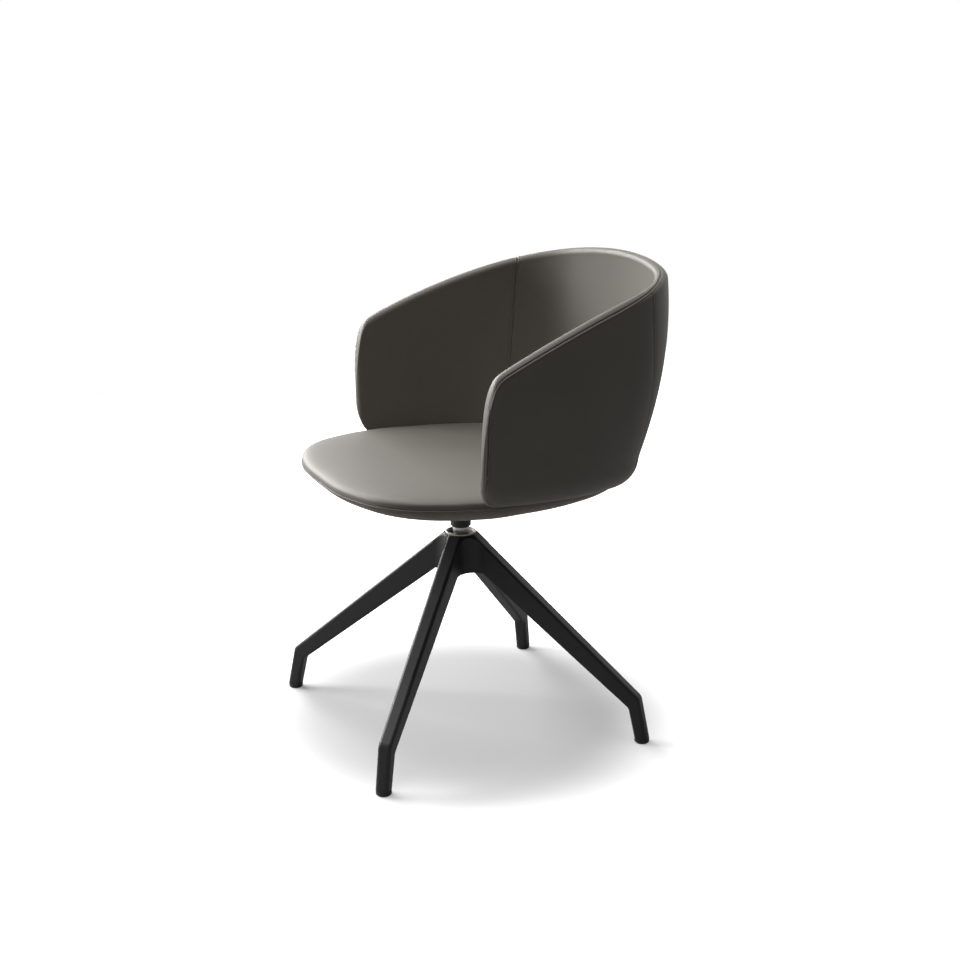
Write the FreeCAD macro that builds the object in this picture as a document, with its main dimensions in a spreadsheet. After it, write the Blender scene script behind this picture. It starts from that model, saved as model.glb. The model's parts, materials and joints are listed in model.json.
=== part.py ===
import FreeCAD, Part
import Sketcher
import math
import os

# A swivel tub chair in millimetres. The front faces -Y, +Z is up, and the origin lies on the
# floor under the spindle.

SIZES = {
    # Cast base: four legs on a square, each a straight limb, a knee and a short foot.
    "foot_circle_radius": 326.6,
    "hub_top_height": 333,
    "hub_bottom_height": 268,
    "hub_top_radius": 28,
    "hub_web_radius": 28,
    "hub_floor": 5,
    "hub_floor_hole_radius": 18,
    "leg_root_width": 27,
    "leg_knee_width": 22.5,
    "leg_edge_radius": 5,
    "leg_under_start_radius": 41,
    "knee_outer_radius": 322,
    "knee_outer_height": 80,
    "knee_depth": 18,
    "knee_drop": 20,
    "knee_bend_radius": 13,
    "foot_across": 23,
    "foot_edge_radius": 8,
    "glide_radius": 12.5,
    "glide_height": 8,
    "glide_edge": 2,
    "glide_stem_radius": 4,
    "glide_stem_length": 14,
    # Bearing unit in the hub.
    "part_clearance": 0.1,
    "running_clearance": 0.3,
    "housing_radius": 25,
    "housing_wall": 4,
    "housing_floor": 4,
    "ring_radius": 26,
    "ring_bore_radius": 23.4,
    "ring_height": 3,
    "bearing_recess": 4,
    "dust_washer_thickness": 1.5,
    "bearing_width": 9,
    "bearing_bore_radius": 12.5,
    "bearing_shoulder_gap": 2.4,
    "ball_radius": 2.7,
    "ball_clearance": 0.05,
    "ball_count": 12,
    "cage_wall": 1.4,
    "cage_height": 7,
    "spindle_radius": 14,
    "spindle_bare_length": 11,
    "spindle_taper": 1.2,
    "spindle_taper_length": 36,
    "inner_spacer_wall": 2,
    "outer_spacer_wall": 2.2,
    "socket_wall": 3.4,
    "socket_edge": 2.5,
    "retainer_radius": 15,
    "retainer_thickness": 2,
    "retainer_screw_radius": 3,
    "retainer_screw_length": 14,
    "screw_head_height": 2.5,
    "screw_head_radius": 5,
    # Seat: a crowned cushion in a shallow moulded bowl, with a seam all round.
    "seat_seam_height": 450,
    "seat_crown": 20,
    "seat_bowl_depth": 60,
    "seat_front_reach": 250,
    "seat_side_clearance": 1.5,
    "leather_thickness": 1.5,
    "cover_clearance": 0.3,
    "pan_thickness": 12,
    "welt_radius": 1.4,
    "plate_side": 110,
    "plate_thickness": 4,
    "plate_screw_spacing": 52,
    "plate_screw_radius": 3,
    "plate_screw_length": 11,
    "tee_nut_radius": 8,
    "tee_nut_flange": 1.2,
    # Shell: back and arms in one wall that follows three arcs in plan, widest at one height.
    "wall_widest_height": 712,
    "wall_half_thickness": 10.5,
    "wall_back_reach": 310.5,
    "wall_back_radius": 533.5,
    "wall_back_turn": 15,
    "wall_corner_radius": 154.5,
    "wall_corner_turn": 60,
    "wall_arm_radius": 1154.5,
    "wall_arm_length": 272,
    "wall_back_lean_radius": 600,
    "wall_arm_lean_radius": 2600,
    "crest_height": 795,
    "crest_radius": 1123,
    "wall_foot_height": 434,
    "wall_foot_front_height": 453,
    "wall_foot_roll": 42,
    "wall_foam_clearance": 0.8,
    "arm_front_height": 510,
    "arm_corner_reach": 43,
    "arm_foot_corner_reach": 39,
    "side_seam_run": 267,
    "arm_seam_reach": 15,
    "board_half_thickness": 4.5,
    "board_edge_setback": 18,
    "board_foot_setback": 6.5,
    "board_foot_roll": 20,
    # Brackets that carry the shell on the seat pan, with their bolts.
    "bracket_thickness": 3,
    "bracket_width": 60,
    "bracket_inner_reach": 24,
    "bracket_outer_reach": 4,
    "bracket_rise": 13,
    "bracket_screw_reach": 10,
    "bracket_screw_spacing": 40,
    "bracket_screw_radius": 2,
    "bracket_screw_length": 8,
    "bracket_head_radius": 3.5,
    "bracket_head_height": 2,
    "bolt_radius": 2.5,
    "bolt_head_radius": 4,
    "bolt_head_height": 3.2,
    "bolt_rise": 9.5,
    "insert_wall": 1,
    "insert_length": 4,
    # One overrun for every cut that passes right through.
    "overrun": 40,
}

# Shapes given as shares of the sizes above.
LEAN_END_SHARE = 0.45
RIM_SEAM_SHARE = 0.975
ARM_TOP_POWER = 5
ARM_FOOT_POWER = 3
TIP_STATION_SHARES = (0.006, 0.028, 0.07, 0.14, 0.24, 0.38, 0.56, 0.8, 1.1)
SEAT_FRONT_SHARES = ((0.977, 0.17), (0.947, 0.327), (0.78, 0.719), (0.487, 0.931))
SEAT_CROWN_POWER = 4
SEAT_CROWN_FLAT_SHARE = 0.4
SEAT_BOWL_POWER = 1.7
SEAT_BOWL_FLAT_SHARE = 0.25
SEAT_BOWL_SHIFT_SHARE = 0.11
SEAT_RUN_SHARES = (0.945, 0.83, 0.72, 0.62, 0.53, 0.435, 0.34)
PANEL_END_SHARES = (0.01, 0.035)
BRACKET_RUN_SHARES = (-0.76, -0.62, 0, 0.62, 0.76)

os.makedirs("parts", exist_ok=True)
doc = FreeCAD.newDocument("swivel_chair")
sheet = doc.addObject("Spreadsheet::Sheet", "Sizes")
for row, (alias, number) in enumerate(SIZES.items(), start=1):
    sheet.set(f"A{row}", alias)
    sheet.set(f"B{row}", str(number))
    sheet.setAlias(f"B{row}", alias)
doc.recompute()

nodes = []


def size(expression):
    """The value of an expression on the size sheet."""
    return float(sheet.evalExpression(expression))


def bound(expression):
    """The same expression with each size's name pointing at the sheet."""
    words = []
    for word in expression.replace("(", "( ").replace(")", " )").split():
        words.append("Sizes." + word if word in SIZES else word)
    return " ".join(words)


def vector(x, y, z=0.0):
    return FreeCAD.Vector(x, y, z)


UP = vector(0, 0, 1)


def line(start, end):
    return Part.LineSegment(start, end).toShape()


def arc(start, middle, end):
    return Part.Arc(start, middle, end).toShape()


def feature(name, shape):
    """A sub-part whose shape is worked out from the sheet with Part's own functions."""
    obj = doc.addObject("Part::Feature", name)
    obj.Shape = shape
    nodes.append(obj)
    return obj


def turned(name, corners):
    """A piece turned about the swivel axis, from an outline of (radius, height) expressions."""
    body = doc.addObject("PartDesign::Body", name)
    sketch = body.newObject("Sketcher::SketchObject", name + "_outline")
    plane = next(item for item in body.Origin.OriginFeatures if item.Role == "XZ_Plane")
    sketch.AttachmentSupport = [(plane, "")]
    sketch.MapMode = "FlatFace"
    points = [vector(size(radius), size(height)) for radius, height in corners]
    count = len(points)
    for k in range(count):
        sketch.addGeometry(Part.LineSegment(points[k], points[(k + 1) % count]), False)
    for k in range(count):
        sketch.addConstraint(Sketcher.Constraint("Coincident", k, 2, (k + 1) % count, 1))
    for k, (radius, height) in enumerate(corners):
        measures = (("DistanceX", radius, points[k].x), ("DistanceY", height, points[k].y))
        for kind, expression, value in measures:
            index = sketch.addConstraint(Sketcher.Constraint(kind, -1, 1, k, 1, value))
            if expression != "0":
                sketch.setExpression(f"Constraints[{index}]", bound(expression))
    turn = body.newObject("PartDesign::Revolution", name + "_turn")
    turn.Profile = sketch
    turn.ReferenceAxis = (sketch, ["V_Axis"])
    turn.Angle = 360
    nodes.append(body)
    return body


def tube_corners(bore, radius, low, high):
    return [(bore, low), (radius, low), (radius, high), (bore, high)]


# The cast base.

def leg_section(top, bottom, width, edge):
    """A rounded rectangle across the leg, between two points in the leg's upright plane."""
    down = (bottom - top).normalize()
    side = vector(0, 1)
    middle = (top + bottom) * 0.5
    half_deep = top.distanceToPoint(bottom) / 2
    half_wide = width / 2
    diagonal = edge * (1 - math.sqrt(0.5))

    def at(deep, wide):
        return middle + down * deep + side * wide

    edges = []
    for turn_down, turn_side in ((-1, -1), (-1, 1), (1, 1), (1, -1)):
        before = at(turn_down * (half_deep - edge), turn_side * half_wide)
        after = at(turn_down * half_deep, turn_side * (half_wide - edge))
        if turn_down * turn_side < 0:
            before, after = after, before
        bend = at(turn_down * (half_deep - diagonal), turn_side * (half_wide - diagonal))
        if edges:
            edges.append(line(edges[-1].Vertexes[-1].Point, before))
        edges.append(arc(before, bend, after))
    edges.append(line(edges[-1].Vertexes[-1].Point, edges[0].Vertexes[0].Point))
    return Part.Wire(edges)


def bend_points(corner, before, after, radius, count):
    """Points round a corner from one line to the next, with the tangent points first and last."""
    back = (before - corner).normalize()
    ahead = (after - corner).normalize()
    half_angle = back.getAngle(ahead) / 2
    reach = radius / math.tan(half_angle)
    centre = corner + (back + ahead).normalize() * (radius / math.sin(half_angle))
    start = corner + back * reach - centre
    end = corner + ahead * reach - centre
    sweep = start.getAngle(end)
    points = []
    for k in range(count):
        share = k / (count - 1)
        turned_start = start * math.sin((1 - share) * sweep)
        turned_end = end * math.sin(share * sweep)
        points.append(centre + (turned_start + turned_end) / math.sin(sweep))
    return points


def make_leg():
    """One leg in the XZ plane: a straight limb from the hub, a rounded knee and a splayed foot."""
    hub_edge = vector(size("hub_top_radius"), 0, size("hub_top_height"))
    knee_outer = vector(size("knee_outer_radius"), 0, size("knee_outer_height"))
    knee_inner = knee_outer - vector(size("knee_depth"), 0, size("knee_drop"))
    under_start = vector(size("leg_under_start_radius"), 0, size("hub_bottom_height"))
    foot_outer = vector(size("foot_circle_radius + foot_across / 2"), 0, size("glide_height"))
    foot_inner = vector(size("foot_circle_radius - foot_across / 2"), 0, size("glide_height"))
    inward = size("hub_top_radius / 2")
    limb = (knee_outer - hub_edge).normalize()
    root_top = hub_edge - limb * (inward / limb.x)
    under = (knee_inner - under_start).normalize()
    root_bottom = under_start - under * ((under_start.x - inward) / under.x)
    steps = 5
    bend = size("knee_bend_radius")
    outer = bend_points(knee_outer, hub_edge, foot_outer, bend, steps)
    inner = bend_points(knee_inner, under_start, foot_inner, bend, steps)
    edge = size("leg_edge_radius")
    knee_width = size("leg_knee_width")
    root = leg_section(root_top, root_bottom, size("leg_root_width"), edge)
    knees = [leg_section(outer[k], inner[k], knee_width, edge) for k in range(steps)]
    foot = leg_section(foot_outer, foot_inner, size("foot_across"), size("foot_edge_radius"))
    limb_solid = Part.makeLoft([root, knees[0]], True, True)
    knee_solid = Part.makeLoft(knees, True, False)
    foot_solid = Part.makeLoft([knees[-1], foot], True, True)
    return limb_solid.fuse([knee_solid, foot_solid])


def make_hub():
    """The hub: a four-pointed star with hollow sides, under a cone that carries on the legs' tops."""
    half_wide = size("leg_root_width / 2")
    web = size("hub_web_radius")
    reach = half_wide + web
    dip = half_wide + web * (1 - math.sqrt(0.5))
    outer = reach + size("leg_edge_radius")
    low = size("hub_bottom_height")
    edges = []
    for k in range(4):
        turn = FreeCAD.Rotation(UP, 90 * k)
        straight = ((outer, -half_wide), (outer, half_wide))
        places = straight + ((reach, half_wide), (dip, dip), (half_wide, reach), (half_wide, outer))
        a, b, c, d, e, f = [turn.multVec(vector(x, y)) + UP * low for x, y in places]
        edges += [line(a, b), line(b, c), arc(c, d, e), line(e, f)]
    star = Part.Face(Part.Wire(edges)).extrude(UP * size("hub_top_height - hub_bottom_height"))
    slope = size("(hub_top_height - knee_outer_height) / (knee_outer_radius - hub_top_radius)")
    top = size("hub_top_height")
    rim = outer + web
    cone = Part.makeCone(rim, size("hub_top_radius"), (rim - size("hub_top_radius")) * slope,
                         vector(0, 0, top - (rim - size("hub_top_radius")) * slope))
    skirt = Part.makeCylinder(rim, top - low, vector(0, 0, low - (rim - size("hub_top_radius")) * slope))
    return star.common(cone.fuse(skirt))


def make_base():
    leg = make_leg()
    headroom = Part.makeCylinder(size("foot_circle_radius + overrun"), size("hub_top_height"))
    leg = leg.common(headroom)
    body = make_hub()
    legs = []
    for k in range(4):
        turned_leg = leg.copy()
        turned_leg.rotate(vector(0, 0), UP, 90 * k)
        legs.append(turned_leg)
    body = body.fuse(legs)
    bore_floor = size("hub_bottom_height + hub_floor")
    bore_height = size("overrun + hub_top_height") - bore_floor
    bore = Part.makeCylinder(size("housing_radius + part_clearance"), bore_height, vector(0, 0, bore_floor))
    hole = Part.makeCylinder(size("hub_floor_hole_radius"), size("hub_top_height"), vector(0, 0, 0))
    stems = []
    for k in range(4):
        place = FreeCAD.Rotation(UP, 90 * k).multVec(vector(size("foot_circle_radius"), 0))
        stems.append(Part.makeCylinder(size("glide_stem_radius + part_clearance"),
                                       size("glide_height + glide_stem_length + part_clearance"), place))
    body = body.cut([bore, hole] + stems).removeSplitter()
    body.rotate(vector(0, 0), UP, 45)
    return body.Solids[0] if len(body.Solids) == 1 else body


feature("pyramid_base", make_base())

for corner_name, quarter in (("rear_left", 0), ("rear_right", 1), ("front_right", 2), ("front_left", 3)):
    glide = turned("glide_" + corner_name, [
        ("0", "0"),
        ("glide_radius - glide_edge", "0"),
        ("glide_radius", "glide_edge"),
        ("glide_radius", "glide_height"),
        ("glide_stem_radius", "glide_height"),
        ("glide_stem_radius", "glide_height + glide_stem_length"),
        ("0", "glide_height + glide_stem_length"),
    ])
    angle = 45 + 90 * quarter
    glide.setExpression("Placement.Base.x", bound(f"foot_circle_radius * cos( {angle} )"))
    glide.setExpression("Placement.Base.y", bound(f"foot_circle_radius * sin( {angle} )"))

# The bearing unit: a steel cup in the hub, two ball bearings, and a spindle through them.

CUP_FLOOR = "( hub_bottom_height + hub_floor )"
LOWER_BEARING = f"( {CUP_FLOOR} + housing_floor )"
UPPER_TOP = "( hub_top_height - bearing_recess )"
UPPER_BEARING = f"( {UPPER_TOP} - bearing_width )"
SEAT_RADIUS = "( housing_radius - housing_wall )"
PITCH = f"( ( {SEAT_RADIUS} + bearing_bore_radius ) / 2 )"
SOCKET_FOOT = "( hub_top_height + spindle_bare_length )"
COVER_FLOOR = "( seat_seam_height - seat_bowl_depth )"
PLATE_FLOOR = f"( {COVER_FLOOR} + leather_thickness + cover_clearance )"
PLATE_TOP = f"( {PLATE_FLOOR} + plate_thickness )"

turned("bearing_housing", [
    ("hub_floor_hole_radius", CUP_FLOOR),
    ("housing_radius", CUP_FLOOR),
    ("housing_radius", "hub_top_height"),
    (SEAT_RADIUS, "hub_top_height"),
    (SEAT_RADIUS, LOWER_BEARING),
    ("hub_floor_hole_radius", LOWER_BEARING),
])
turned("hub_ring", [
    ("ring_bore_radius", "hub_top_height"),
    ("ring_radius", "hub_top_height"),
    ("ring_radius", "hub_top_height + ring_height * 0.7"),
    ("ring_radius - ring_height * 0.3", "hub_top_height + ring_height"),
    ("ring_bore_radius", "hub_top_height + ring_height"),
])
turned("dust_washer", tube_corners(
    "spindle_radius + running_clearance", f"{SEAT_RADIUS} - part_clearance",
    f"{UPPER_TOP} + part_clearance", f"{UPPER_TOP} + dust_washer_thickness"))
turned("outer_spacer", tube_corners(
    f"{SEAT_RADIUS} - outer_spacer_wall", f"{SEAT_RADIUS} - part_clearance",
    f"{LOWER_BEARING} + bearing_width", UPPER_BEARING))
turned("inner_spacer", tube_corners(
    "bearing_bore_radius", "bearing_bore_radius + inner_spacer_wall",
    f"{LOWER_BEARING} + bearing_width", UPPER_BEARING))


def race(name, bore, radius, low):
    """A bearing ring with a ball groove, made of two cylinders and a torus."""
    pieces = []
    for label, reach in (("ring", radius), ("bore", bore)):
        piece = doc.addObject("Part::Cylinder", f"{name}_{label}")
        piece.setExpression("Radius", bound(reach))
        piece.setExpression("Height", bound("bearing_width"))
        piece.setExpression("Placement.Base.z", bound(low))
        pieces.append(piece)
    groove = doc.addObject("Part::Torus", name + "_groove")
    groove.setExpression("Radius1", bound(PITCH))
    groove.setExpression("Radius2", bound("ball_radius + ball_clearance"))
    groove.setExpression("Placement.Base.z", bound(f"{low} + bearing_width / 2"))
    ring = doc.addObject("Part::Cut", name + "_blank")
    ring.Base = pieces[0]
    ring.Tool = pieces[1]
    grooved = doc.addObject("Part::Cut", name)
    grooved.Base = ring
    grooved.Tool = groove
    nodes.append(grooved)


def ball_places(low):
    count = int(size("ball_count"))
    height = size(f"{low} + bearing_width / 2")
    spoke = vector(size(PITCH), 0)
    return [FreeCAD.Rotation(UP, 360 * k / count).multVec(spoke) + UP * height for k in range(count)]


def spheres(places, radius):
    return [Part.makeSphere(radius, place) for place in places]


def make_cage(low):
    """A thin ring between the races, with a round pocket for each ball."""
    floor = UP * size(f"{low} + ( bearing_width - cage_height ) / 2")
    height = size("cage_height")
    radius = size(PITCH)
    ring = Part.makeCylinder(radius + size("cage_wall / 2"), height, floor)
    bore = Part.makeCylinder(radius - size("cage_wall / 2"), height, floor)
    pockets = []
    pocket = size("ball_radius + ball_clearance")
    for place in ball_places(low):
        spoke = vector(place.x, place.y).normalize() * size("cage_wall")
        pockets.append(Part.makeCylinder(pocket, 2 * spoke.Length, place - spoke, spoke))
    return ring.cut([bore] + pockets)


for level, low in (("lower", LOWER_BEARING), ("upper", UPPER_BEARING)):
    race(level + "_outer_race", f"{PITCH} + bearing_shoulder_gap / 2", f"{SEAT_RADIUS} - part_clearance", low)
    race(level + "_inner_race", "bearing_bore_radius", f"{PITCH} - bearing_shoulder_gap / 2", low)
    feature(level + "_balls", Part.makeCompound(spheres(ball_places(low), size("ball_radius"))))
    feature(level + "_cage", make_cage(low))

turned("spindle", [
    ("retainer_screw_radius + part_clearance", f"{LOWER_BEARING} + part_clearance"),
    ("bearing_bore_radius - part_clearance", f"{LOWER_BEARING} + part_clearance"),
    ("bearing_bore_radius - part_clearance", UPPER_TOP),
    ("spindle_radius", UPPER_TOP),
    ("spindle_radius", SOCKET_FOOT),
    ("spindle_radius - spindle_taper", f"{SOCKET_FOOT} + spindle_taper_length"),
    ("0", f"{SOCKET_FOOT} + spindle_taper_length"),
    ("0", f"{LOWER_BEARING} + retainer_screw_length"),
    ("retainer_screw_radius + part_clearance", f"{LOWER_BEARING} + retainer_screw_length"),
])
turned("retaining_washer", tube_corners(
    "retainer_screw_radius + part_clearance", "retainer_radius",
    f"{LOWER_BEARING} - retainer_thickness", LOWER_BEARING))
turned("retaining_screw", [
    ("0", f"{LOWER_BEARING} - retainer_thickness - screw_head_height"),
    ("screw_head_radius", f"{LOWER_BEARING} - retainer_thickness - screw_head_height"),
    ("screw_head_radius", f"{LOWER_BEARING} - retainer_thickness"),
    ("retainer_screw_radius", f"{LOWER_BEARING} - retainer_thickness"),
    ("retainer_screw_radius", f"{LOWER_BEARING} + retainer_screw_length - part_clearance"),
    ("0", f"{LOWER_BEARING} + retainer_screw_length - part_clearance"),
])
SPINDLE_TOP = f"( {SOCKET_FOOT} + spindle_taper_length )"
turned("taper_socket", [
    ("spindle_radius + part_clearance", SOCKET_FOOT),
    ("spindle_radius + socket_wall - socket_edge", SOCKET_FOOT),
    ("spindle_radius + socket_wall", f"{SOCKET_FOOT} + socket_edge"),
    ("spindle_radius + socket_wall", PLATE_FLOOR),
    ("0", PLATE_FLOOR),
    ("0", f"{SPINDLE_TOP} + part_clearance"),
    ("spindle_radius - spindle_taper + part_clearance", f"{SPINDLE_TOP} + part_clearance"),
])


# The wall of the shell. A place on it is a run along its mid line from the middle of the back,
# an offset outwards and a height.

BACK_LENGTH = size("wall_back_radius * wall_back_turn") * math.pi / 180
CORNER_LENGTH = size("wall_corner_radius * wall_corner_turn") * math.pi / 180
TIP_RUN = BACK_LENGTH + CORNER_LENGTH + size("wall_arm_length")
LEAN_END = BACK_LENGTH + CORNER_LENGTH + size("wall_arm_length") * LEAN_END_SHARE


def plan_place(run):
    """The mid line's point and outward direction at the wall's widest height."""
    x = 0.0
    y = size("wall_back_reach")
    heading = 0.0
    left = abs(run)
    back = ("wall_back_radius", BACK_LENGTH)
    corner = ("wall_corner_radius", CORNER_LENGTH)
    arcs = (back, corner, ("wall_arm_radius", left))
    for radius_name, length in arcs:
        radius = size(radius_name)
        step = min(left, length)
        ahead = heading + step / radius
        x += radius * (math.sin(ahead) - math.sin(heading))
        y += radius * (math.cos(ahead) - math.cos(heading))
        heading = ahead
        left -= step
    side = 1 if run >= 0 else -1
    return vector(side * x, y), vector(side * math.sin(heading), math.cos(heading))


def wall_point(run, offset, height):
    place, outward = plan_place(run)
    return place + outward * offset + UP * height


def lean(run, height):
    """How far the mid line lies inward of its widest place: an arc, flatter along the arms."""
    share = min(max((abs(run) - BACK_LENGTH) / (LEAN_END - BACK_LENGTH), 0), 1)
    share = share * share * (3 - 2 * share)
    curve = (1 - share) / size("wall_back_lean_radius") + share / size("wall_arm_lean_radius")
    return -(size("wall_widest_height") - height) ** 2 * curve / 2


def crest(run):
    return size("crest_height") - run ** 2 / size("2 * crest_radius")


def wall_foot(run):
    share = abs(run) / TIP_RUN
    return size("wall_foot_height") * (1 - share) + size("wall_foot_front_height") * share


def rounding(reach, full, power):
    """A superellipse's rise from 0 to 1 over a stretch."""
    share = min(reach / full, 1)
    return math.sqrt(1 - (1 - share) ** power)


def wall_arcs(run, half, top_inset, foot_inset, end_inset, roll):
    """Points for the wall's five arcs across its run, thinner and lower towards the arm's end.

    The arcs are the outer side, the two quarters of the crest, the inner side and the rolled foot.
    """
    reach = TIP_RUN - end_inset - abs(run)
    front = size("arm_front_height")
    rise = rounding(reach, size("arm_corner_reach"), ARM_TOP_POWER)
    drop = rounding(reach, size("arm_foot_corner_reach"), ARM_FOOT_POWER)
    top = front + (crest(run) - top_inset - front) * rise
    foot = front - (front - wall_foot(run) - foot_inset) * drop
    thin = rounding(reach, half, 2)
    half = half * thin
    shoulder = top - half
    hip = foot + roll * thin
    diagonal = math.sqrt(0.5)

    def at(offset, height):
        return wall_point(run, lean(run, height) + offset, height)

    inward = lean(run, foot) - half
    across = lean(run, hip) + half - inward
    belly = wall_point(run, inward + across * diagonal, hip - (hip - foot) * diagonal)
    return [
        (at(half, hip), at(half, (shoulder + hip) / 2), at(half, shoulder)),
        (at(half, shoulder), at(half * diagonal, shoulder + half * diagonal), at(0, top)),
        (at(0, top), at(-half * diagonal, shoulder + half * diagonal), at(-half, shoulder)),
        (at(-half, shoulder), at(-half, (shoulder + foot) / 2), at(-half, foot)),
        (at(-half, foot), belly, at(half, hip)),
    ]


def skin_arcs(run, inset):
    """The arcs of the wall's surface, moved inwards by an inset."""
    half = size("wall_half_thickness") - inset
    return wall_arcs(run, half, inset, inset, inset, size("wall_foot_roll") - inset)


def closed(arcs):
    return Part.Wire([arc(*points) for points in arcs])


def wall_runs(end_inset):
    """Section places from one arm's front end to the other, close together near the ends."""
    corner = size("arm_corner_reach")
    end = TIP_RUN - end_inset
    close = [end - corner * share for share in TIP_STATION_SHARES]
    wide_steps = 15
    wide = [close[-1] * (1 - k / wide_steps) for k in range(1, wide_steps)]
    half = close + wide
    return [-run for run in half] + [0.0] + half[::-1]


def wall_solid(half, top_inset, foot_inset, end_inset, roll):
    sections = []
    for run in wall_runs(end_inset):
        sections.append(closed(wall_arcs(run, half, top_inset, foot_inset, end_inset, roll)))
    return Part.makeLoft(sections, True, False)


def wall_skin(inset):
    """The whole wall with its surface moved inwards by an inset."""
    return Part.makeLoft([closed(skin_arcs(run, inset)) for run in wall_runs(inset)], True, False)


def panel_section(run, outer_side):
    """A leather panel across the run: the outer side with the foot, or the inner side with the crest."""
    outside = skin_arcs(run, 0.0)
    inside = skin_arcs(run, size("leather_thickness"))
    faces = []
    for arcs in (outside, inside):
        low, middle, high = arcs[0]
        seam = Part.Arc(low, middle, high)
        split = seam.value(seam.LastParameter * RIM_SEAM_SHARE)
        below = seam.value(seam.LastParameter * RIM_SEAM_SHARE / 2)
        above = seam.value(seam.LastParameter * (1 + RIM_SEAM_SHARE) / 2)
        if outer_side:
            faces.append([arcs[4], (low, below, split)])
        else:
            faces.append([(split, above, high), arcs[1], arcs[2], arcs[3]])
    edges = [arc(*points) for points in faces[0]]
    edges.append(line(faces[0][-1][2], faces[1][-1][2]))
    edges += [arc(end, middle, start) for start, middle, end in faces[1][::-1]]
    edges.append(line(faces[1][0][0], faces[0][0][0]))
    return Part.Wire(edges)


def panel(start, end, outer_side):
    close = [(end - start) * share for share in PANEL_END_SHARES]
    runs = [start, end]
    for reach in close:
        runs += [start + reach, end - reach]
    first = start + (close[-1] + close[-2])
    last = end - (close[-1] + close[-2])
    runs += [run for run in wall_runs(0.0) if first < run < last]
    return Part.makeLoft([panel_section(run, outer_side) for run in sorted(runs)], True, False)


def ahead_of(run, inward, length):
    """A block in front of the upright plane across the wall at a run, to cut the left arm with."""
    place, outward = plan_place(run)
    ahead = vector(outward.y, -outward.x) * length
    corners = [place + outward * size("overrun"), place - outward * inward]
    corners += [corners[1] + ahead, corners[0] + ahead]
    edges = [line(corners[k], corners[(k + 1) % len(corners)]) for k in range(len(corners))]
    return Part.Face(Part.Wire(edges)).extrude(UP * size("crest_height"))


# The seat's outline follows the inside of the wall, and its front is bowed with round corners.

def seat_side_point(run):
    seam = size("seat_seam_height")
    return wall_point(run, lean(run, seam) - size("wall_half_thickness + seat_side_clearance"), 0)


def mirrored(point):
    return vector(-point.x, point.y)


SEAT_MIDDLE = vector(0, (seat_side_point(0).y - size("seat_front_reach")) / 2)
SEAT_HALF_WIDTH = seat_side_point(TIP_RUN * SEAT_RUN_SHARES[0]).x


def seat_outline(share, height, shift=0.0):
    """The closed outline at one level, shrunk about its middle and shifted to the rear."""
    sides = [seat_side_point(TIP_RUN * run_share) for run_share in SEAT_RUN_SHARES]
    front = size("seat_front_reach")
    depth = front + sides[0].y
    fronts = [vector(sides[0].x * wide, sides[0].y - depth * deep) for wide, deep in SEAT_FRONT_SHARES]
    right = fronts[::-1] + sides
    left = [mirrored(point) for point in right]

    def at(point):
        level = SEAT_MIDDLE + (point - SEAT_MIDDLE) * share
        return vector(level.x, level.y + shift, height)

    edges = []
    last = len(right) - 1
    for k in range(0, last, 2):
        edges.append(arc(at(right[k]), at(right[k + 1]), at(right[k + 2])))
    edges.append(arc(at(right[last]), at(seat_side_point(0)), at(left[last])))
    for k in range(last, 0, -2):
        edges.append(arc(at(left[k]), at(left[k - 1]), at(left[k - 2])))
    edges.append(arc(at(left[0]), at(vector(0, -front)), at(right[0])))
    return Part.Wire(edges)


def swell(power, flat_share, steps, gather):
    """Shares of width and rise along a superellipse, from the seam to the flat middle."""
    end = math.acos(flat_share ** (power / 2))
    shares = []
    for k in range(steps + 1):
        turn = end * (k / steps) ** gather
        shares.append((math.cos(turn) ** (2 / power), (math.sin(turn) / math.sin(end)) ** (2 / power)))
    return shares


def seat_crown(inset):
    """The domed upper part of the seat, its skin moved inwards by an inset."""
    seam = size("seat_seam_height")
    rise = size("seat_crown") - inset
    shrink = 1 - inset / SEAT_HALF_WIDTH
    shares = swell(SEAT_CROWN_POWER, SEAT_CROWN_FLAT_SHARE, 8, 1.6)
    return Part.makeLoft([seat_outline(wide * shrink, seam + rise * up) for wide, up in shares], True, True)


def seat_bowl(inset):
    """The bowl under the seam, its skin moved inwards by an inset and its middle set to the rear."""
    seam = size("seat_seam_height")
    drop = size("seat_bowl_depth") - inset
    shrink = 1 - inset / SEAT_HALF_WIDTH
    shift = SEAT_HALF_WIDTH * SEAT_BOWL_SHIFT_SHARE
    shares = swell(SEAT_BOWL_POWER, SEAT_BOWL_FLAT_SHARE, 9, 1)
    levels = [seat_outline(wide * shrink, seam - drop * down, shift * down ** 1.5) for wide, down in shares]
    return Part.makeLoft(levels, True, True)


def slab(low, high):
    """A wide slab between two heights, to trim a piece."""
    reach = size("seat_front_reach + overrun")
    return Part.makeBox(2 * reach, 2 * reach, high - low, vector(-reach, -reach, low))


def post(radius, low, high, x=0.0, y=0.0):
    return Part.makeCylinder(radius, high - low, vector(x, y, low))


def screw_places(spacing):
    half = spacing / 2
    return [(half, half), (-half, half), (-half, -half), (half, -half)]


# Fixings between the seat pan and the shell. Each is drawn in a frame of its own, where +X points
# out through the wall and the origin lies on the seat's seam, and then moved to its place.

def at_wall(shape, run):
    origin = seat_side_point(run) + UP * size("seat_seam_height")
    half = size("bracket_width / 2")
    along = seat_side_point(run + half) - seat_side_point(run - half)
    outward = vector(-along.y, along.x)
    shape.rotate(vector(0, 0), UP, math.degrees(math.atan2(outward.y, outward.x)))
    shape.translate(origin)
    return shape


def rod(radius, start, end, height):
    return Part.makeCylinder(radius, end - start, vector(start, 0, height), vector(1, 0, 0))


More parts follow.
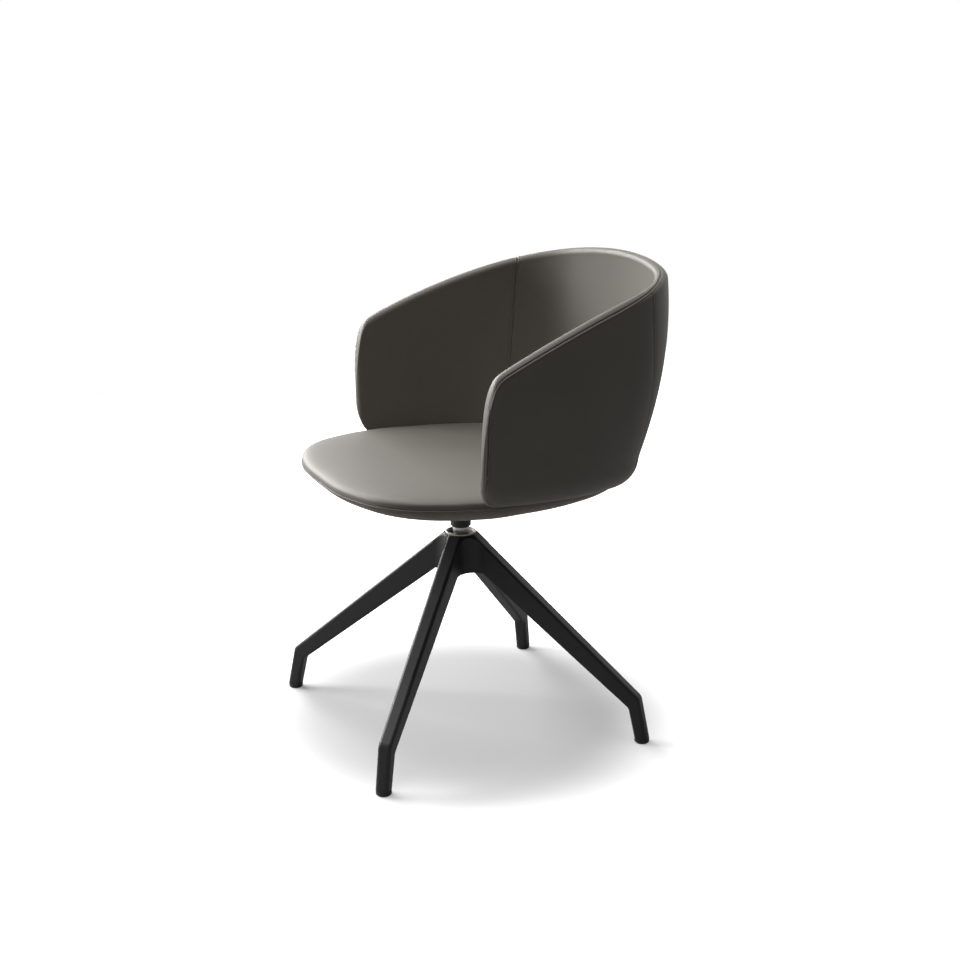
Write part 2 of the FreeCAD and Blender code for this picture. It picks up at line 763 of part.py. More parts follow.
def board_distance(run):
    """From the seat's seam out to the inner face of the shell board, at the bolts' height."""
    seam = size("seat_seam_height")
    shift = lean(run, seam + size("bolt_rise")) - lean(run, seam)
    return shift + size("wall_half_thickness + seat_side_clearance - board_half_thickness")


def make_bracket(clearance=0.0):
    width = size("bracket_width") + 2 * clearance
    thick = size("bracket_thickness") + clearance
    inner = size("bracket_inner_reach")
    outer = size("bracket_outer_reach")
    foot = Part.makeBox(inner - outer, width, thick, vector(-inner, -width / 2))
    upright = Part.makeBox(thick, width, size("bracket_rise") + clearance, vector(-inner, -width / 2))
    return foot.fuse(upright).removeSplitter()


def make_bracket_screws(clearance=0.0):
    top = size("bracket_thickness")
    shank = size("bracket_screw_radius") + clearance
    head = size("bracket_head_radius") + clearance
    pieces = []
    for side in (-1, 1):
        x = -size("bracket_screw_reach")
        y = side * size("bracket_screw_spacing / 2")
        low = post(shank, -size("bracket_screw_length") - clearance, top, x, y)
        pieces.append(low.fuse(post(head, top, top + size("bracket_head_height") + clearance, x, y)))
    return pieces


def make_bolt(run, clearance=0.0):
    face = -size("bracket_inner_reach")
    rise = size("bolt_rise")
    end = board_distance(run) + size("insert_length - part_clearance")
    shank = rod(size("bolt_radius") + clearance, face, end, rise)
    head = rod(size("bolt_head_radius") + clearance, face - size("bolt_head_height") - clearance, face, rise)
    return shank.fuse(head)


def make_insert(run):
    start = board_distance(run)
    end = start + size("insert_length")
    bore = size("bolt_radius + part_clearance")
    tube = rod(bore + size("insert_wall"), start, end, size("bolt_rise"))
    return tube.cut(rod(bore, start, end, size("bolt_rise")))


def make_insert_hole(run):
    """The hole for an insert, open towards the seat."""
    start = board_distance(run)
    radius = size("bolt_radius + 2 * part_clearance + insert_wall")
    return rod(radius, start - size("board_half_thickness"), start + size("insert_length"), size("bolt_rise"))


RUNS = [TIP_RUN * share for share in BRACKET_RUN_SHARES]
CLEAR = size("part_clearance")
brackets = [at_wall(make_bracket(), run) for run in RUNS]
bracket_spaces = [at_wall(make_bracket(CLEAR), run) for run in RUNS]
bracket_screws = [at_wall(screw, run) for run in RUNS for screw in make_bracket_screws()]
bracket_screw_spaces = [at_wall(screw, run) for run in RUNS for screw in make_bracket_screws(CLEAR)]
bolts = [at_wall(make_bolt(run), run) for run in RUNS]
bolt_spaces = [at_wall(make_bolt(run, CLEAR), run) for run in RUNS]
inserts = [at_wall(make_insert(run), run) for run in RUNS]
insert_holes = [at_wall(make_insert_hole(run), run) for run in RUNS]

drilled = [piece.cut(bolt_spaces + bracket_screw_spaces) for piece in brackets]
feature("shell_brackets", Part.makeCompound(drilled))
feature("bracket_screws", Part.makeCompound(bracket_screws))
feature("shell_bolts", Part.makeCompound(bolts))
feature("shell_inserts", Part.makeCompound(inserts))

# The seat, from the steel plate up to the leather.

SEAM = size("seat_seam_height")
WELT = size("welt_radius")
LEATHER = size("leather_thickness")
PAN_OUTSIDE = size("leather_thickness + cover_clearance")
PAN_INSIDE = PAN_OUTSIDE + size("pan_thickness")
FOAM_FOOT = PAN_INSIDE + size("cover_clearance")
PLATE_LOW = size(PLATE_FLOOR)
PLATE_HIGH = size(PLATE_TOP)
PAN_TOP = size(COVER_FLOOR) + PAN_INSIDE
FLANGE_LOW = PAN_TOP - size("tee_nut_flange")
SCREW_TOP = PLATE_LOW + size("plate_screw_length")
SCREW_PLACES = screw_places(size("plate_screw_spacing"))
SCREW_RADIUS = size("plate_screw_radius")


def make_plate_screw(clearance, x, y):
    """A countersunk screw that stands on its head."""
    top = SCREW_TOP + clearance
    flare = SCREW_RADIUS
    head = Part.makeCone(2 * flare + clearance, flare + clearance, flare, vector(x, y, PLATE_LOW))
    return head.fuse(post(flare + clearance, PLATE_LOW, top, x, y))


def make_tee_nut(clearance, x, y):
    flange = post(size("tee_nut_radius") + clearance, FLANGE_LOW, PAN_TOP, x, y)
    barrel = post(size("plate_screw_radius + insert_wall") + clearance, PLATE_HIGH + CLEAR, PAN_TOP, x, y)
    return flange.fuse(barrel)


def make_plate(clearance):
    half = size("plate_side / 2") + clearance
    box = Part.makeBox(2 * half, 2 * half, PLATE_HIGH - PLATE_LOW, vector(-half, -half, PLATE_LOW))
    upright = [edge for edge in box.Edges if abs(edge.tangentAt(edge.FirstParameter).z) > math.sqrt(0.5)]
    return box.makeFillet(size("plate_thickness * 2"), upright)


plate_screws = [make_plate_screw(0.0, x, y) for x, y in SCREW_PLACES]
plate_screw_spaces = [make_plate_screw(CLEAR, x, y) for x, y in SCREW_PLACES]
tee_nuts = [make_tee_nut(0.0, x, y).cut(plate_screw_spaces) for x, y in SCREW_PLACES]
tee_nut_spaces = [make_tee_nut(CLEAR, x, y) for x, y in SCREW_PLACES]
pan_blank = seat_bowl(PAN_OUTSIDE)

feature("seat_plate", make_plate(0.0).common(pan_blank).cut(plate_screw_spaces))
feature("plate_screws", Part.makeCompound(plate_screws))
feature("tee_nuts", Part.makeCompound(tee_nuts))
feature("seat_pan", pan_blank.cut([seat_bowl(PAN_INSIDE), make_plate(CLEAR)] + tee_nut_spaces
                                  + plate_screw_spaces + bracket_screw_spaces))
feature("seat_foam", seat_crown(PAN_OUTSIDE).fuse(seat_bowl(FOAM_FOOT)).cut(
    bracket_spaces + bracket_screw_spaces + bolt_spaces))

socket_hole = post(size("spindle_radius + socket_wall + cover_clearance"), 0.0, SEAM)
seam_space = slab(SEAM - WELT, SEAM + WELT)
feature("seat_under_cover", seat_bowl(0.0).cut([seat_bowl(LEATHER), seam_space, socket_hole]))
feature("seat_top_cover", seat_crown(0.0).cut([seat_crown(LEATHER), seam_space] + bolt_spaces))


def make_welt():
    """A half-round piping on the seat's seam."""
    levels = []
    steps = 6
    for k in range(steps + 1):
        turn = math.pi * (k / steps - 0.5)
        share = 1 + WELT * math.cos(turn) / SEAT_HALF_WIDTH / 2
        levels.append(seat_outline(share, SEAM + WELT * math.sin(turn)))
    ring = Part.makeLoft(levels, True, True)
    core = [seat_outline(1 - LEATHER / SEAT_HALF_WIDTH, SEAM + WELT * side) for side in (-2, 2)]
    return ring.cut(Part.makeLoft(core, True, True))


feature("seat_welt", make_welt())

# The shell: a moulded board between foam pads for the back and the arms, covered by six leather
# panels.

board = wall_solid(size("board_half_thickness"), size("board_edge_setback"), size("board_foot_setback"),
                   size("board_edge_setback"), size("board_foot_roll"))
wall_foam = wall_skin(size("leather_thickness + wall_foam_clearance"))
side_seam = size("side_seam_run")
arm_seam = TIP_RUN - size("arm_seam_reach")
skin = wall_skin(0.0).cut(wall_skin(LEATHER))

feature("shell_board", board.cut(insert_holes + bolt_spaces))
foam = wall_foam.cut([board] + insert_holes + bolt_spaces)
left_space = ahead_of(side_seam, side_seam, TIP_RUN)
right_space = left_space.mirror(vector(0, 0), vector(1, 0))
left_foam = foam.common(left_space)
feature("shell_foam_back", foam.cut([left_space, right_space]))
feature("shell_foam_left", left_foam)
feature("shell_foam_right", left_foam.mirror(vector(0, 0), vector(1, 0)))
feature("inner_back_cover", panel(-side_seam, side_seam, False).cut(bolt_spaces))
feature("outer_back_cover", panel(-side_seam, side_seam, True))
inner_arm = panel(side_seam, arm_seam, False)
outer_arm = panel(side_seam, arm_seam, True)
arm_end = skin.common(ahead_of(arm_seam, size("overrun"), size("overrun")))
for label in ("left", "right"):
    feature("inner_arm_cover_" + label, inner_arm.fuse(arm_end).cut(bolt_spaces))
    feature("outer_arm_cover_" + label, outer_arm)
    inner_arm, outer_arm, arm_end = [
        piece.mirror(vector(0, 0), vector(1, 0)) for piece in (inner_arm, outer_arm, arm_end)]

# Checks and export.

doc.recompute()
for obj in doc.Objects:
    if "Invalid" in obj.State or "Error" in obj.State:
        raise RuntimeError(f"{obj.Label} did not recompute: {obj.State}")
for node in nodes:
    shape = node.Shape
    if shape.isNull() or not shape.isValid() or not shape.Solids:
        raise RuntimeError(f"{node.Label} has no valid solid")
    shape.exportStep(f"parts/{node.Label}.step")
    print(node.Label, len(shape.Solids), round(shape.Volume))
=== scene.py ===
# %% [markdown]
# # A swivel tub chair
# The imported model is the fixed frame: every bought-in or machined piece comes from it. This lesson
# dresses it with what a modeller adds by hand: the leather, its seams and stitches, and the finishes.

# %% Load the frame
import json
import math

import bmesh
import bpy
from mathutils import Matrix, Vector
from mathutils.bvhtree import BVHTree
from mathutils.kdtree import KDTree


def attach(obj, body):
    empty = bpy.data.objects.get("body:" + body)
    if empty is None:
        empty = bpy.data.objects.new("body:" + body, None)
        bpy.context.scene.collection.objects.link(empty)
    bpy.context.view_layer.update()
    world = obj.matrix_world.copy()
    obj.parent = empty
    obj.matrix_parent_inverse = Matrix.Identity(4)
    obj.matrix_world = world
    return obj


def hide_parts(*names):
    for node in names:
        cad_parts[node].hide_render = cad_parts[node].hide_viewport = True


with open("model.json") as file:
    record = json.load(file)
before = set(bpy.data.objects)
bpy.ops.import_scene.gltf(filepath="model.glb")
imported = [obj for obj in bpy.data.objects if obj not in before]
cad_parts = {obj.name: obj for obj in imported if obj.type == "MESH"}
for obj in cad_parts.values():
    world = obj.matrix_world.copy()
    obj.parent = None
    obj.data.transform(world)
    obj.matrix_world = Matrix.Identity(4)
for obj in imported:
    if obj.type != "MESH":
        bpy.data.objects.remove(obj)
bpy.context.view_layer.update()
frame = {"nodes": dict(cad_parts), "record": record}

scene = bpy.context.scene
print("nodes:", len(frame["nodes"]))

# %% [markdown]
# The camera stands where the photo was taken from. Its height, distance, pitch and lens were worked
# out from the four feet, which lie on a square, so the render can be laid over the photo. Trial and
# error would do for a rough view, but not for one that is compared edge by edge. It looks slightly
# past the chair's axis.

# %% Camera
PHOTO_WIDTH = 960
SENSOR = 36.0
CAMERA_AZIMUTH = 66.8
CAMERA_DISTANCE = 2.380
CAMERA_HEIGHT = 1.077
CAMERA_PITCH = 15.34
CAMERA_YAW = 0.79
FOCAL_PIXELS = 1465.8

camera_data = bpy.data.cameras.new("photo_camera")
camera_data.sensor_width = SENSOR
camera_data.lens = FOCAL_PIXELS * SENSOR / PHOTO_WIDTH
camera = bpy.data.objects.new("photo_camera", camera_data)
turn = math.radians(CAMERA_AZIMUTH)
camera.location = (CAMERA_DISTANCE * math.sin(turn), -CAMERA_DISTANCE * math.cos(turn), CAMERA_HEIGHT)
camera.rotation_euler = (math.radians(90 - CAMERA_PITCH), 0, math.radians(CAMERA_AZIMUTH - CAMERA_YAW))
scene.collection.objects.link(camera)
scene.camera = camera
scene.view_settings.view_transform = "Standard"
print("lens:", round(camera_data.lens, 2), "mm")

# %% [markdown]
# Shader maths reads best as a sum. This small class wraps a socket, so that Python's operators on
# it add the Math nodes. Linking each node by hand gives the same material, but hides the sum.


# %% A socket that can be added up
class Signal:
    """A value in a material. An operator on it adds a Math node."""

    def __init__(self, recipe, socket):
        self.recipe = recipe
        self.socket = socket

    def math(self, operation, first, second):
        return self.recipe.add("ShaderNodeMath", {"operation": operation}, {0: first, 1: second})

    def __add__(self, other):
        return self.math("ADD", self, other)

    def __radd__(self, other):
        return self.math("ADD", other, self)

    def __mul__(self, other):
        return self.math("MULTIPLY", self, other)

    def __rmul__(self, other):
        return self.math("MULTIPLY", other, self)


# %% [markdown]
# A recipe keeps the nodes of one material together. All patterns start from the piece's own
# coordinates, so that they ride with it when the seat turns.


# %% A recipe for a finish
class Recipe:
    """The nodes of one material, or of the world."""

    def __init__(self, name, data=None):
        self.material = data or bpy.data.materials.new(name)
        self.material.use_nodes = True
        self.tree = self.material.node_tree
        self.shader = self.tree.nodes.get("Principled BSDF")
        self.place = self.add("ShaderNodeTexCoord", output="Object")

    def add(self, kind, settings=None, values=None, output=0):
        node = self.tree.nodes.new(kind)
        for key, setting in (settings or {}).items():
            setattr(node, key, setting)
        for key, value in (values or {}).items():
            self.connect(node.inputs[key], value)
        return Signal(self, node.outputs[output])

    def connect(self, socket, value):
        if isinstance(value, Signal):
            self.tree.links.new(value.socket, socket)
        elif isinstance(value, tuple) and len(value) == 3 and socket.type == "RGBA":
            socket.default_value = (*value, 1.0)
        else:
            socket.default_value = value

    def noise(self, scale, detail=3.0, roughness=0.5, place=None):
        values = {"Vector": place or self.place, "Scale": scale, "Detail": detail, "Roughness": roughness}
        return self.add("ShaderNodeTexNoise", {}, values)

    def mix(self, factor, first, second):
        return self.add("ShaderNodeMix", {"data_type": "RGBA"}, {0: factor, 6: first, 7: second}, 2)

    def bump(self, height, distance, strength=1.0, below=None):
        values = {"Height": height, "Distance": distance, "Strength": strength}
        if below is not None:
            values["Normal"] = below
        return self.add("ShaderNodeBump", {}, values)

    def surface(self, **values):
        for key, value in values.items():
            self.connect(self.shader.inputs[key.replace("_", " ")], value)
        return self.material


# %% [markdown]
# The leather is smooth and tight. Close up it has a fine pebbled grain, which a smooth Voronoi
# pattern gives better than plain noise, because its cells have rounded tops. Over the hide the dye
# and the polish vary a little. Its sheen is soft.


# %% Leather
def leather(name, dark, light, gloss):
    hide = Recipe(name)
    cloud = hide.noise(9.0, 2.0)
    warp = hide.noise(260.0, 2.0)
    pebbles = hide.add("ShaderNodeTexVoronoi", {"feature": "SMOOTH_F1"},
                       {"Vector": hide.place, "Scale": 720.0, "Smoothness": 0.6}, "Distance")
    creases = hide.noise(70.0, 4.0, 0.55)
    pores = pebbles * 0.7 + warp * 0.5
    tone = hide.mix(cloud * 0.75 + creases * 0.25, dark, light)
    grain = hide.bump(pores, 0.00012, 0.5)
    return hide.surface(
        Base_Color=tone,
        Roughness=gloss + cloud * 0.08 + creases * 0.05,
        Normal=hide.bump(creases, 0.0006, 0.25, grain),
        Specular_IOR_Level=0.42,
        Sheen_Weight=0.08,
        Sheen_Roughness=0.4,
    )


LEATHER = leather("grey_leather", (0.088, 0.079, 0.066), (0.116, 0.105, 0.089), 0.47)
# The under leather is the same hide in a darker, browner colour. That is painted shade for the seat's
# underside, which lies in shade.
UNDER_LEATHER_PAINTED_SHADE = leather("grey_leather_painted_shade_under", (0.078, 0.064, 0.049), (0.104, 0.087, 0.068), 0.56)


# %% [markdown]
# The base is an aluminium casting under black powder coat: satin, with a faint orange-peel skin.
# That skin is a bump of fine noise, as it is far too small to model.


# %% Powder coat
def powder_coat():
    coat = Recipe("black_powder_coat")
    peel = coat.noise(900.0, 2.0)
    cloud = coat.noise(14.0, 2.0)
    return coat.surface(
        Base_Color=coat.mix(cloud, (0.010, 0.010, 0.011), (0.016, 0.016, 0.017)),
        Roughness=0.46 + cloud * 0.10,
        Normal=coat.bump(peel, 0.00015, 0.35),
    )


# %% [markdown]
# The column's small pieces are turned, ground or pressed steel, or moulded plastic. A lathe leaves
# fine rings round the axis. Noise that is squeezed along the axis gives them for all turned pieces
# at once, where an anisotropic shader would need a tangent for each.


# %% Steel and plastic
def turned_steel(name, dark, light, gloss):
    steel = Recipe(name)
    stretched = steel.add("ShaderNodeMapping", {}, {"Vector": steel.place, "Scale": (30.0, 30.0, 4000.0)})
    lines = steel.noise(1.0, 3.0, 0.6, stretched)
    stains = steel.noise(60.0, 3.0)
    return steel.surface(
        Base_Color=steel.mix(stains, dark, light),
        Metallic=1.0,
        Roughness=gloss + lines * 0.12,
        Normal=steel.bump(lines, 0.00004, 0.5),
    )


def moulded_plastic(name, dark, light, gloss):
    plastic = Recipe(name)
    spark = plastic.noise(1500.0, 2.0)
    cloud = plastic.noise(40.0, 2.0)
    return plastic.surface(
        Base_Color=plastic.mix(cloud, dark, light),
        Roughness=gloss + cloud * 0.08,
        Normal=plastic.bump(spark, 0.00008, 0.4),
    )


# %% [markdown]
# Under the leather the pan and the board are moulded plywood, and the padding is open foam. Both
# show only when a cover is taken off, so a simple grain and a simple cell pattern are enough.


# %% Plywood and foam
def plywood():
    wood = Recipe("moulded_plywood")
    along = wood.add("ShaderNodeMapping", {}, {"Vector": wood.place, "Scale": (1.0, 14.0, 1.0)})
    figure = wood.noise(30.0, 5.0, 0.6, along)
    plies = wood.add("ShaderNodeTexWave", {"wave_type": "BANDS", "bands_direction": "Z"},
                     {"Vector": wood.place, "Scale": 110.0, "Distortion": 1.5})
    return wood.surface(
        Base_Color=wood.mix(figure * 0.7 + plies * 0.3, (0.36, 0.22, 0.11), (0.62, 0.44, 0.27)),
        Roughness=0.5 + figure * 0.2,
        Normal=wood.bump(figure, 0.0002, 0.4),
    )


def open_foam():
    foam = Recipe("upholstery_foam")
    cells = foam.add("ShaderNodeTexVoronoi", {}, {"Vector": foam.place, "Scale": 900.0}, "Distance")
    cloud = foam.noise(20.0, 3.0)
    return foam.surface(
        Base_Color=foam.mix(cloud, (0.62, 0.55, 0.36), (0.78, 0.72, 0.52)),
        Roughness=0.85 + cells * 0.1,
        Normal=foam.bump(cells, 0.0005, 0.8),
    )


# %% [markdown]
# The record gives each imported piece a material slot, and each slot has one finish here. A table is
# the simplest way, because a new piece then needs no new code.

# %% Finishes by slot
FINISHES = {
    "leather": LEATHER,
    # The underside's finish is a darker copy of the leather: painted shade.
    "leather_shade": UNDER_LEATHER_PAINTED_SHADE,
    "cast_base": powder_coat(),
    "black_plastic": moulded_plastic("black_plastic", (0.010, 0.010, 0.010), (0.018, 0.018, 0.018), 0.45),
    "ring_steel": turned_steel("light_ring", (0.55, 0.50, 0.42), (0.68, 0.63, 0.55), 0.32),
    "bright_spindle": turned_steel("bright_spindle", (0.52, 0.52, 0.52), (0.66, 0.66, 0.66), 0.22),
    "machined_steel": turned_steel("plated_steel", (0.40, 0.40, 0.42), (0.52, 0.52, 0.54), 0.34),
    "bearing_steel": turned_steel("bearing_steel", (0.50, 0.50, 0.52), (0.60, 0.60, 0.62), 0.20),
    "ball_steel": turned_steel("ball_steel", (0.66, 0.66, 0.68), (0.74, 0.74, 0.76), 0.08),
    "cage_brass": turned_steel("cage_brass", (0.50, 0.36, 0.14), (0.62, 0.46, 0.20), 0.30),
    "pressed_steel": moulded_plastic("black_pressed_steel", (0.030, 0.030, 0.031),
                                     (0.045, 0.045, 0.046), 0.50),
    "moulded_plywood": plywood(),
    "foam": open_foam(),
}
for subpart in frame["record"]["subparts"]:
    node = frame["nodes"][subpart["node"]]
    node.data.materials.clear()
    node.data.materials.append(FINISHES[subpart["material_slot"]])
print("finishes:", len(FINISHES))


# %% [markdown]
# The shell is one wall of foam over a moulded board. Seen from above it follows three tangent arcs:
# a wide one at the back, a tight corner, and a nearly straight arm. It leans inwards towards its
# foot. These sizes are the part's own, in metres.

# %% The wall's sizes
WIDEST = 0.712
HALF_THICK = 0.0105
BACK_REACH = 0.3105
BACK_RADIUS = 0.5335
BACK_TURN = math.radians(15)
CORNER_RADIUS = 0.1545
CORNER_TURN = math.radians(60)
ARM_RADIUS = 1.1545
ARM_LENGTH = 0.272
BACK_LENGTH = BACK_TURN * BACK_RADIUS
CORNER_LENGTH = CORNER_TURN * CORNER_RADIUS
ARCS = ((BACK_RADIUS, BACK_LENGTH), (CORNER_RADIUS, CORNER_LENGTH), (ARM_RADIUS, ARM_LENGTH))
BACK_LEAN = 0.600
ARM_LEAN = 2.600
CREST = 0.795
CREST_RADIUS = 1.123
FOOT_BACK = 0.434
FOOT_FRONT = 0.453
FOOT_ROLL = 0.042
ARM_FRONT = 0.510
ARM_CORNER = 0.043
ARM_FOOT_CORNER = 0.039
ARM_TOP_POWER = 5
ARM_FOOT_POWER = 3
END_POWER = 2
LEAN_SHARE = 0.45
ARM_START = BACK_LENGTH + CORNER_LENGTH
TIP = ARM_START + ARM_LENGTH
LEAN_END = ARM_START + ARM_LENGTH * LEAN_SHARE
SEAT_SEAM = 0.450
print("wall:", round(2 * TIP, 3), "m round")


# %% [markdown]
# A place on the wall is a run along it, a height, and an offset outwards. With such a formula the
# leather, the stitches and the seat's outline all follow the same wall. Bending a flat board with
# modifiers would give the form too, but not the places of the seams on it.


# %% Places on the wall
def smooth_share(value):
    value = min(max(value, 0.0), 1.0)
    return value * value * (3 - 2 * value)


def plan_place(run):
    """The wall's middle line from above, and the direction straight out of it."""
    x, y, heading, left = 0.0, BACK_REACH, 0.0, abs(run)
    for index, (radius, length) in enumerate(ARCS):
        step = left if index == len(ARCS) - 1 else min(left, length)
        ahead = heading + step / radius
        x += radius * (math.sin(ahead) - math.sin(heading))
        y += radius * (math.cos(ahead) - math.cos(heading))
        heading = ahead
        left -= step
    side = 1 if run >= 0 else -1
    return Vector((side * x, y, 0)), Vector((side * math.sin(heading), math.cos(heading), 0))


def lean(run, height):
    """How far the wall leans in at a height. The back leans more than the arms."""
    share = smooth_share((abs(run) - BACK_LENGTH) / (LEAN_END - BACK_LENGTH))
    curve = (1 - share) / BACK_LEAN + share / ARM_LEAN
    return -(WIDEST - height) ** 2 * curve / 2


def crest(run):
    return CREST - run ** 2 / (2 * CREST_RADIUS)


def wall_foot(run):
    share = abs(run) / TIP
    return FOOT_BACK * (1 - share) + FOOT_FRONT * share


def rounding(reach, full, power):
    """The rounded end of the arm: 0 at its very end, and 1 from the full reach on."""
    share = min(max(reach / full, 0.0), 1.0)
    return math.sqrt(1 - (1 - share) ** power)


def at_wall(run, offset, height):
    place, outward = plan_place(run)
    return place + outward * (lean(run, height) + offset) + Vector((0, 0, height))


def girth(run):
    """The wall's thickness, shoulder, hip and foot at one run. It thins towards the arm's end."""
    reach = TIP - abs(run)
    top = ARM_FRONT + (crest(run) - ARM_FRONT) * rounding(reach, ARM_CORNER, ARM_TOP_POWER)
    foot = ARM_FRONT - (ARM_FRONT - wall_foot(run)) * rounding(reach, ARM_FOOT_CORNER, ARM_FOOT_POWER)
    thin = rounding(reach, HALF_THICK, END_POWER)
    return HALF_THICK * thin, top - HALF_THICK * thin, foot + FOOT_ROLL * thin, foot


# %% [markdown]
# Round the wall's girth the leather has four sides: the inner face, over the crest, the outer face
# and underneath. A share from 0 to 1 says how far round its side a point lies.

# %% Round the wall's girth
INNER, OVER, OUTER, UNDER = range(4)


def skin_place(run, side, share):
    """A point on the leather: on the inner face, over the crest, on the outer face or underneath."""
    half, shoulder, hip, foot = girth(run)
    if side == INNER:
        return at_wall(run, -half, foot + (shoulder - foot) * share)
    if side == OVER:
        angle = math.pi * share
        return at_wall(run, -half * math.cos(angle), shoulder + half * math.sin(angle))
    if side == OUTER:
        return at_wall(run, half, shoulder + (hip - shoulder) * share)
    angle = math.pi / 2 * share
    inner = lean(run, foot) - half
    outer = lean(run, hip) + half
    place, outward = plan_place(run)
    height = hip - (hip - foot) * math.sin(angle)
    return place + outward * (inner + (outer - inner) * math.cos(angle)) + Vector((0, 0, height))


print("crest at the back:", round(skin_place(0, OVER, 0.5).z, 4), "m")


# %% [markdown]
# Each leather panel is a grid that is laid on the wall, with its columns at chosen runs and its
# rows at chosen places round the wall's girth. The columns and rows lie closer together beside a
# seam, where the leather bends most.

# %% Runs along the wall
SEAM_STEPS = (0.0, 0.0009, 0.0019, 0.0031, 0.0045, 0.0059, 0.0072, 0.0095, 0.0135, 0.0190)
GATHER_POWER = 1.8


def spread(first, last, count, gather="both"):
    """Values from first to last, closer together at the named ends."""
    values = []
    for k in range(count + 1):
        share = k / count
        if gather == "both":
            share = (1 - math.cos(math.pi * share)) / 2
        elif gather == "first":
            share = share ** GATHER_POWER
        elif gather == "last":
            share = 1 - (1 - share) ** GATHER_POWER
        values.append(first + (last - first) * share)
    return values


def seam_runs(first, last, count):
    """Runs between two seams, with close steps beside each seam."""
    inner = spread(first + SEAM_STEPS[-1], last - SEAM_STEPS[-1], count, "even")[1:-1]
    return [first + step for step in SEAM_STEPS] + inner + [last - step for step in reversed(SEAM_STEPS)]


# %% [markdown]
# The two side seams, where the back's panels meet the arms', don't run straight down but slant. So
# the whole pattern of columns shifts along the wall near them, and fades back to straight further off.

# %% Slanting side seams
SIDE_SEAM = 0.267
SEAM_FADE = 0.150
INNER_SEAM_SLANT = 0.024
OUTER_SEAM_SLANT = -0.022
SLANT_PACE = 1.4


def leather_place(run, side, share):
    """A place on the leather. The side seams slant, so the runs beside them shift with them."""
    along = abs(run)
    fade = along / SIDE_SEAM if along <= SIDE_SEAM else max(0.0, 1 - (along - SIDE_SEAM) / SEAM_FADE)
    slant = {
        INNER: INNER_SEAM_SLANT * (1 - share),
        OVER: 0.0,
        OUTER: OUTER_SEAM_SLANT * smooth_share(share * SLANT_PACE),
        UNDER: OUTER_SEAM_SLANT,
    }[side]
    return skin_place(math.copysign(along + slant * fade, run), side, share)


# %% [markdown]
# A grid is the plain way to skin a bent form, and every panel then ends exactly at its seams. Each
# point also keeps the direction out of the foam, which the seams need next.


# %% Laying leather on the wall
def out_of_foam(run, side, place):
    """From the middle of the foam to a place on the leather."""
    half, shoulder, hip, foot = girth(run)
    if side == UNDER:
        return place - at_wall(run, -half, hip)
    return place - at_wall(run, 0, min(place.z, shoulder))


def lay_grid(bm, runs, rows_at):
    """A grid of leather. rows_at gives the (side, share) places round the girth at one run."""
    columns = len(runs)
    rows = len(rows_at(runs[0]))
    made = bmesh.ops.create_grid(bm, x_segments=columns - 1, y_segments=rows - 1, size=1.0)
    ordered = sorted(made["verts"], key=lambda vert: (round(vert.co.x, 5), round(vert.co.y, 5)))
    outward = bm.verts.layers.float_vector["outward"]
    for index, vert in enumerate(ordered):
        run = runs[index // rows]
        side, share = rows_at(run)[index % rows]
        vert.co = leather_place(run, side, share)
        vert[outward] = out_of_foam(run, side, vert.co).normalized()
    column, row = columns // 2, rows // 3
    face = ordered[column * rows + row].link_faces[0]
    face.normal_update()
    run = runs[column]
    if face.normal.dot(out_of_foam(run, rows_at(run)[row][0], face.calc_center_median())) < 0:
        faces = {face for vert in ordered for face in vert.link_faces}
        bmesh.ops.reverse_faces(bm, faces=list(faces))


# %% [markdown]
# At a seam the leather is pulled into the foam, and again along each line of stitches beside it, so
# a soft ridge stands between them. Moving the points of the panels gives real grooves. A bump in the
# material would look flat in the rims' outline.

# %% Sinking the seams
SEAM_DEPTH = 0.0016
SEAM_REACH = 0.0024
STITCH_GAP = 0.0045
STITCH_DIP = 0.0007
DIP_REACH = 0.0017


def seam_depth(distance):
    """How deep the leather lies at a distance from its seam."""
    groove = max(0.0, 1 - distance / SEAM_REACH)
    dip = max(0.0, 1 - abs(distance - STITCH_GAP) / DIP_REACH)
    return SEAM_DEPTH * groove ** 2 + STITCH_DIP * smooth_share(dip)


def sink_edges(bm):
    """Pull the leather in at its seams, straight into the foam, so that both hides stay together."""
    outward = bm.verts.layers.float_vector["outward"]
    border = [vert for vert in bm.verts if vert.is_boundary]
    tree = KDTree(len(border))
    for index, vert in enumerate(border):
        tree.insert(vert.co, index)
    tree.balance()
    depths = [seam_depth(tree.find(vert.co)[2]) for vert in bm.verts]
    for vert, depth in zip(bm.verts, depths):
        vert.co -= vert[outward] * depth
    bm.verts.layers.float_vector.remove(outward)


# %% [markdown]
# Every sheet of leather is finished in the same way: it is smoothed, gets the hide's thickness
# inwards, and takes the place of the plain cover of the imported model.

# %% Making a sheet of leather
SKIN = 0.0014
WELD = 0.00002


def new_piece(name, bm, material):
    mesh = bpy.data.meshes.new(name)
    for face in bm.faces:
        face.smooth = True
    bm.to_mesh(mesh)
    bm.free()
    mesh.materials.append(material)
    piece = bpy.data.objects.new(name, mesh)
    scene.collection.objects.link(piece)
    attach(piece, "seat")
    return piece


def as_leather(piece, node):
    """Smooth a sheet and give it the hide's thickness, inwards."""
    subdivision = piece.modifiers.new("smooth", "SUBSURF")
    subdivision.levels = subdivision.render_levels = 1
    subdivision.boundary_smooth = "PRESERVE_CORNERS"
    solid = piece.modifiers.new("thickness", "SOLIDIFY")
    solid.thickness = SKIN
    solid.offset = -1
    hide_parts(node)
    print(piece.name, len(piece.data.polygons), "faces")


def leather_panel(name, node, patches):
    bm = bmesh.new()
    bm.verts.layers.float_vector.new("outward")
    for runs, rows_at in patches:
        lay_grid(bm, runs, rows_at)
    bmesh.ops.remove_doubles(bm, verts=bm.verts, dist=WELD)
    bmesh.ops.dissolve_degenerate(bm, edges=bm.edges, dist=WELD)
    sink_edges(bm)
    piece = new_piece(name, bm, LEATHER)
    as_leather(piece, node)
    return piece


